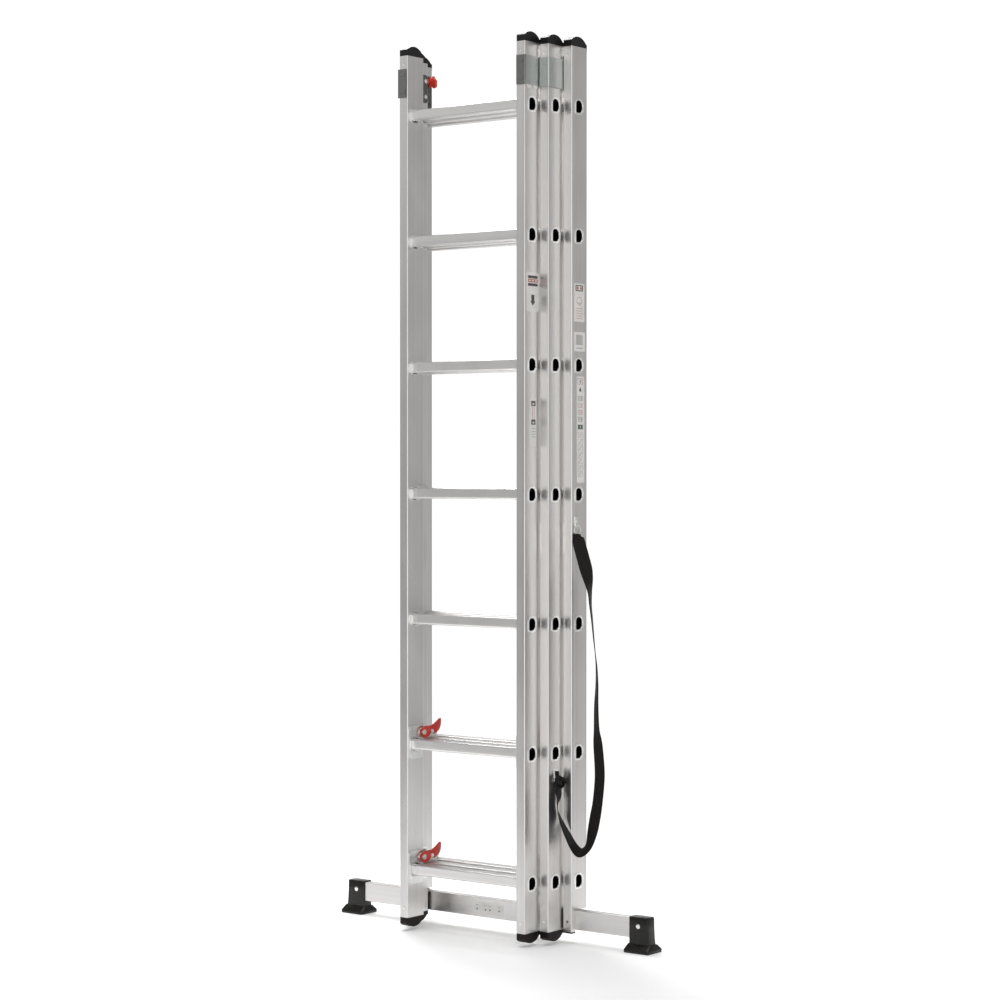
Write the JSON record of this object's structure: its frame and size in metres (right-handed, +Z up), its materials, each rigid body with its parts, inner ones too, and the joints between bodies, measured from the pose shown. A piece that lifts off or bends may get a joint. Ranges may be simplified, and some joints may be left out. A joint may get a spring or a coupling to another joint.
{
  "type": "combination extension ladder",
  "caption": "Aluminium combination extension ladder with nested sliding sections, rung hooks, top hinge brackets, a webbing limit strap and a stabiliser bar on pad feet.",
  "frame": {"origin": "on the floor under the middle of the folded ladder's bounding box, without its strap", "axes": "+Z up along the stiles, +X across the ladder to the right as seen from the front, +Y from the top section in front towards the base section behind"},
  "size_m": [0.862, 0.1592, 1.971],
  "materials": {
    "stile_aluminium": "satin mill-finish extrusion with faint lengthwise drawing lines",
    "rung_aluminium": "satin extrusion with ribbed tread",
    "bar_aluminium": "satin extrusion",
    "bracket_steel": "galvanised pressed plate",
    "hook_steel": "bright zinc-plated plate",
    "rivet_metal": "bright rivet heads",
    "cap_plastic": "moulded black plastic",
    "foot_rubber": "ribbed rubber",
    "red_plastic": "moulded red plastic",
    "webbing": "woven black webbing",
    "label_film": "printed film"
  },
  "bodies": {
    "base": {"base_stile_left": "stile_aluminium", "base_stile_right": "stile_aluminium", "base_rung_1": "rung_aluminium", "base_rung_2": "rung_aluminium", "base_rung_3": "rung_aluminium", "base_rung_4": "rung_aluminium", "base_rung_5": "rung_aluminium", "base_rung_6": "rung_aluminium", "base_rung_7": "rung_aluminium", "base_end_caps": "cap_plastic", "stabiliser_bar": "bar_aluminium", "bar_collars": "cap_plastic", "bar_foot_left": "foot_rubber", "bar_foot_right": "foot_rubber", "base_rivets": "rivet_metal", "hinge_pins": "rivet_metal", "base_guide_clips": "bar_aluminium", "base_labels": "label_film", "base_strap_ring": "hook_steel", "strap_outer_run": "webbing", "strap_inner_run": "webbing"},
    "hinge_frame": {"hinge_brackets": "bracket_steel"},
    "latch_left": {"latch_left": "red_plastic"},
    "latch_right": {"latch_right": "red_plastic"},
    "middle": {"middle_stile_left": "stile_aluminium", "middle_stile_right": "stile_aluminium", "middle_rung_1": "rung_aluminium", "middle_rung_2": "rung_aluminium", "middle_rung_3": "rung_aluminium", "middle_rung_4": "rung_aluminium", "middle_rung_5": "rung_aluminium", "middle_rung_6": "rung_aluminium", "middle_rung_7": "rung_aluminium", "middle_caps": "cap_plastic", "middle_feet": "foot_rubber", "guide_brackets": "bracket_steel", "middle_rivets": "rivet_metal", "middle_guide_clips": "bar_aluminium", "middle_strap_ring": "hook_steel", "pawl_plates": "hook_steel"},
    "pawl_left": {"pawl_left": "hook_steel"},
    "pawl_right": {"pawl_right": "hook_steel"},
    "top": {"top_stile_left": "stile_aluminium", "top_stile_right": "stile_aluminium", "top_rung_1": "rung_aluminium", "top_rung_2": "rung_aluminium", "top_rung_3": "rung_aluminium", "top_rung_4": "rung_aluminium", "top_rung_5": "rung_aluminium", "top_rung_6": "rung_aluminium", "top_rung_7": "rung_aluminium", "top_caps": "cap_plastic", "top_feet": "foot_rubber", "hook_plates": "hook_steel", "top_rivets": "rivet_metal", "top_labels": "label_film"},
    "lever_1_left": {"lever_1_left": "red_plastic"},
    "lever_1_right": {"lever_1_right": "red_plastic"},
    "lever_2_left": {"lever_2_left": "red_plastic"},
    "lever_2_right": {"lever_2_right": "red_plastic"}
  },
  "joints": [
    {"name": "aframe_hinge", "type": "hinge", "parent": "base", "child": "hinge_frame", "pos_m": [0, 0.05355, 1.911], "axis": [-1, 0, 0], "range_deg": [0, 32]},
    {"name": "middle_slide", "type": "slide", "parent": "hinge_frame", "child": "middle", "axis": [0, 0, 1], "range_m": [0, 1.12]},
    {"name": "top_slide", "type": "slide", "parent": "middle", "child": "top", "axis": [0, 0, 1], "range_m": [0, 1.12]},
    {"name": "latch_pull_left", "type": "slide", "parent": "hinge_frame", "child": "latch_left", "axis": [1, 0, 0], "range_m": [0, 0.006], "stiffness_N_per_m": 400},
    {"name": "latch_pull_right", "type": "slide", "parent": "hinge_frame", "child": "latch_right", "axis": [-1, 0, 0], "range_m": [0, 0.006], "stiffness_N_per_m": 400},
    {"name": "pawl_swing_left", "type": "hinge", "parent": "middle", "child": "pawl_left", "pos_m": [0, 0.01705, 0.162], "axis": [1, 0, 0], "range_deg": [0, 100]},
    {"name": "pawl_swing_right", "type": "hinge", "parent": "middle", "child": "pawl_right", "pos_m": [0, 0.01705, 0.162], "axis": [1, 0, 0], "range_deg": [0, 100]},
    {"name": "lever_swing_1_left", "type": "hinge", "parent": "top", "child": "lever_1_left", "pos_m": [0, -0.03145, 0.162], "axis": [1, 0, 0], "range_deg": [0, 115]},
    {"name": "lever_swing_1_right", "type": "hinge", "parent": "top", "child": "lever_1_right", "pos_m": [0, -0.03145, 0.162], "axis": [1, 0, 0], "range_deg": [0, 115]},
    {"name": "lever_swing_2_left", "type": "hinge", "parent": "top", "child": "lever_2_left", "pos_m": [0, -0.03145, 0.442], "axis": [1, 0, 0], "range_deg": [0, 115]},
    {"name": "lever_swing_2_right", "type": "hinge", "parent": "top", "child": "lever_2_right", "pos_m": [0, -0.03145, 0.442], "axis": [1, 0, 0], "range_deg": [0, 115]}
  ]
}
